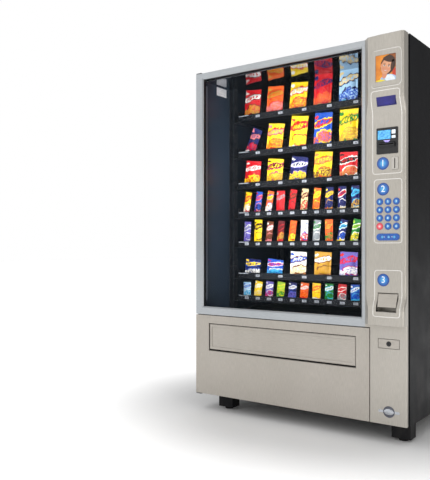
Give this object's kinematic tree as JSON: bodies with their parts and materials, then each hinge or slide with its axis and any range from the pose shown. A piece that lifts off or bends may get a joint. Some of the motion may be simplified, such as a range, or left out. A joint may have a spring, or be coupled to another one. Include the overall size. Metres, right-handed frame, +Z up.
{
  "type": "snack vending machine",
  "caption": "Free-standing glass-front snack vending machine: hinged door, control column with keypad and bill and coin entry, delivery flap, and spiral-coil tray drawers.",
  "frame": {"origin": "centre of the machine's bounding box on the floor", "axes": "+X right as seen by a customer, -Y the front with door and window, +Z up"},
  "size_m": [1.194, 0.958, 1.829],
  "materials": {
    "cabinet_paint": "satin",
    "cover_paint": "satin",
    "liner": "satin",
    "zinc": "satin",
    "mirror": "polished",
    "bin_paint": "matt",
    "baffle_paint": "matt",
    "leg_paint": "satin",
    "control_box": "satin",
    "frame_steel": "satin",
    "window_frame": "satin",
    "glass": "polished",
    "gasket": "matt",
    "lamp": "matt",
    "panel_paint": "metallic satin",
    "flap_paint": "metallic satin",
    "column": "metallic satin",
    "screen": "polished",
    "display": "polished",
    "validator": "satin",
    "coin_mechanism": "satin",
    "coin_flap": "satin",
    "lock_handle": "satin",
    "lock_cylinder": "polished",
    "key_blue": "polished",
    "key_red": "polished",
    "tray": "satin",
    "coil": "satin",
    "packet": "satin"
  },
  "bodies": {
    "cabinet": {"cabinet_shell": "cabinet_paint", "rear_cover": "cover_paint", "inner_liner": "liner", "tray_runners": "zinc", "ceiling_mirror": "mirror", "delivery_bin": "bin_paint", "legs": "leg_paint", "control_box": "control_box", "door_hinges": "cabinet_paint"},
    "baffle": {"security_baffle": "baffle_paint"},
    "door": {"door_frame": "frame_steel", "window_frame": "window_frame", "window_glass": "glass", "door_gasket": "gasket", "lamp_strips": "lamp", "lower_panel": "panel_paint", "control_column": "column", "picture_screen": "screen", "price_display": "display", "bill_validator": "validator", "coin_mechanism": "coin_mechanism"},
    "hatch_flap": {"delivery_flap": "flap_paint"},
    "coin_return_flap": {"coin_flap": "coin_flap"},
    "handle": {"lock_handle": "lock_handle"},
    "cylinder": {"lock_cylinder": "lock_cylinder"},
    "key_1_cap": {"key_1": "key_blue"},
    "key_2_cap": {"key_2": "key_blue"},
    "key_3_cap": {"key_3": "key_blue"},
    "key_4_cap": {"key_4": "key_blue"},
    "key_5_cap": {"key_5": "key_blue"},
    "key_6_cap": {"key_6": "key_blue"},
    "key_7_cap": {"key_7": "key_blue"},
    "key_8_cap": {"key_8": "key_blue"},
    "key_9_cap": {"key_9": "key_blue"},
    "key_cancel_cap": {"key_cancel": "key_red"},
    "key_0_cap": {"key_0": "key_blue"},
    "key_hash_cap": {"key_hash": "key_blue"},
    "key_bar_cap": {"key_bar": "key_blue"},
    "drawer_1": {"tray_1": "tray", "coils_1": "coil", "stock_1": "packet"},
    "drawer_2": {"tray_2": "tray", "coils_2": "coil", "stock_2": "packet"},
    "drawer_3": {"tray_3": "tray", "coils_3": "coil", "stock_3": "packet"},
    "drawer_4": {"tray_4": "tray", "coils_4": "coil", "stock_4": "packet"},
    "drawer_5": {"tray_5": "tray", "coils_5": "coil", "stock_5": "packet"},
    "drawer_6": {"tray_6": "tray", "coils_6": "coil", "stock_6": "packet"},
    "drawer_7": {"tray_7": "tray", "coils_7": "coil", "stock_7": "packet"},
    "turning_coil": {"vend_coil": "coil"}
  },
  "joints": [
    {"name": "door_hinge", "type": "hinge", "parent": "cabinet", "child": "door", "pos_m": [-0.588, -0.434, 0.95], "axis": [0, 0, -1], "range_deg": [0, 110]},
    {"name": "delivery_flap_hinge", "type": "hinge", "parent": "door", "child": "hatch_flap", "pos_m": [-0.0775, -0.433, 0.459], "axis": [1, 0, 0], "range_deg": [0, 60], "stiffness_Nm_per_rad": 1.2, "springref_deg": -11.46},
    {"name": "security_baffle_hinge", "type": "hinge", "parent": "cabinet", "child": "baffle", "pos_m": [-0.068, -0.218, 0.492], "axis": [1, 0, 0], "range_deg": [-85, 0]},
    {"name": "coin_flap_hinge", "type": "hinge", "parent": "door", "child": "coin_return_flap", "pos_m": [0.513, -0.447, 0.6695], "axis": [1, 0, 0], "range_deg": [0, 45], "stiffness_Nm_per_rad": 0.02, "springref_deg": -22.92},
    {"name": "lock_handle_slide", "type": "slide", "parent": "door", "child": "handle", "axis": [0, -1, 0], "range_m": [0, 0.012]},
    {"name": "lock_cylinder_turn", "type": "hinge", "parent": "handle", "child": "cylinder", "pos_m": [0.513, -0.44, 0.448], "axis": [0, -1, 0], "range_deg": [0, 90]},
    {"name": "key_1_press", "type": "slide", "parent": "door", "child": "key_1_cap", "axis": [0, 1, 0], "range_m": [0, 0.0015], "stiffness_N_per_m": 300, "springref_m": -0.001},
    {"name": "key_2_press", "type": "slide", "parent": "door", "child": "key_2_cap", "axis": [0, 1, 0], "range_m": [0, 0.0015], "stiffness_N_per_m": 300, "springref_m": -0.001},
    {"name": "key_3_press", "type": "slide", "parent": "door", "child": "key_3_cap", "axis": [0, 1, 0], "range_m": [0, 0.0015], "stiffness_N_per_m": 300, "springref_m": -0.001},
    {"name": "key_4_press", "type": "slide", "parent": "door", "child": "key_4_cap", "axis": [0, 1, 0], "range_m": [0, 0.0015], "stiffness_N_per_m": 300, "springref_m": -0.001},
    {"name": "key_5_press", "type": "slide", "parent": "door", "child": "key_5_cap", "axis": [0, 1, 0], "range_m": [0, 0.0015], "stiffness_N_per_m": 300, "springref_m": -0.001},
    {"name": "key_6_press", "type": "slide", "parent": "door", "child": "key_6_cap", "axis": [0, 1, 0], "range_m": [0, 0.0015], "stiffness_N_per_m": 300, "springref_m": -0.001},
    {"name": "key_7_press", "type": "slide", "parent": "door", "child": "key_7_cap", "axis": [0, 1, 0], "range_m": [0, 0.0015], "stiffness_N_per_m": 300, "springref_m": -0.001},
    {"name": "key_8_press", "type": "slide", "parent": "door", "child": "key_8_cap", "axis": [0, 1, 0], "range_m": [0, 0.0015], "stiffness_N_per_m": 300, "springref_m": -0.001},
    {"name": "key_9_press", "type": "slide", "parent": "door", "child": "key_9_cap", "axis": [0, 1, 0], "range_m": [0, 0.0015], "stiffness_N_per_m": 300, "springref_m": -0.001},
    {"name": "key_cancel_press", "type": "slide", "parent": "door", "child": "key_cancel_cap", "axis": [0, 1, 0], "range_m": [0, 0.0015], "stiffness_N_per_m": 300, "springref_m": -0.001},
    {"name": "key_0_press", "type": "slide", "parent": "door", "child": "key_0_cap", "axis": [0, 1, 0], "range_m": [0, 0.0015], "stiffness_N_per_m": 300, "springref_m": -0.001},
    {"name": "key_hash_press", "type": "slide", "parent": "door", "child": "key_hash_cap", "axis": [0, 1, 0], "range_m": [0, 0.0015], "stiffness_N_per_m": 300, "springref_m": -0.001},
    {"name": "key_bar_press", "type": "slide", "parent": "door", "child": "key_bar_cap", "axis": [0, 1, 0], "range_m": [0, 0.0015], "stiffness_N_per_m": 400, "springref_m": -0.001},
    {"name": "tray_1_slide", "type": "slide", "parent": "cabinet", "child": "drawer_1", "axis": [0, -1, 0], "range_m": [0, 0.14]},
    {"name": "tray_2_slide", "type": "slide", "parent": "cabinet", "child": "drawer_2", "axis": [0, -1, 0], "range_m": [0, 0.14]},
    {"name": "tray_3_slide", "type": "slide", "parent": "cabinet", "child": "drawer_3", "axis": [0, -1, 0], "range_m": [0, 0.14]},
    {"name": "tray_4_slide", "type": "slide", "parent": "cabinet", "child": "drawer_4", "axis": [0, -1, 0], "range_m": [0, 0.14]},
    {"name": "tray_5_slide", "type": "slide", "parent": "cabinet", "child": "drawer_5", "axis": [0, -1, 0], "range_m": [0, 0.14]},
    {"name": "tray_6_slide", "type": "slide", "parent": "cabinet", "child": "drawer_6", "axis": [0, -1, 0], "range_m": [0, 0.14]},
    {"name": "tray_7_slide", "type": "slide", "parent": "cabinet", "child": "drawer_7", "axis": [0, -1, 0], "range_m": [0, 0.14]},
    {"name": "vend_coil_turn", "type": "hinge", "parent": "drawer_4", "child": "turning_coil", "pos_m": [0.37, -0.19, 1.08], "axis": [0, 1, 0], "continuous": true}
  ],
  "couplings": [
    {"joint": "security_baffle_hinge", "follows": "delivery_flap_hinge", "ratio": -1.4}
  ]
}
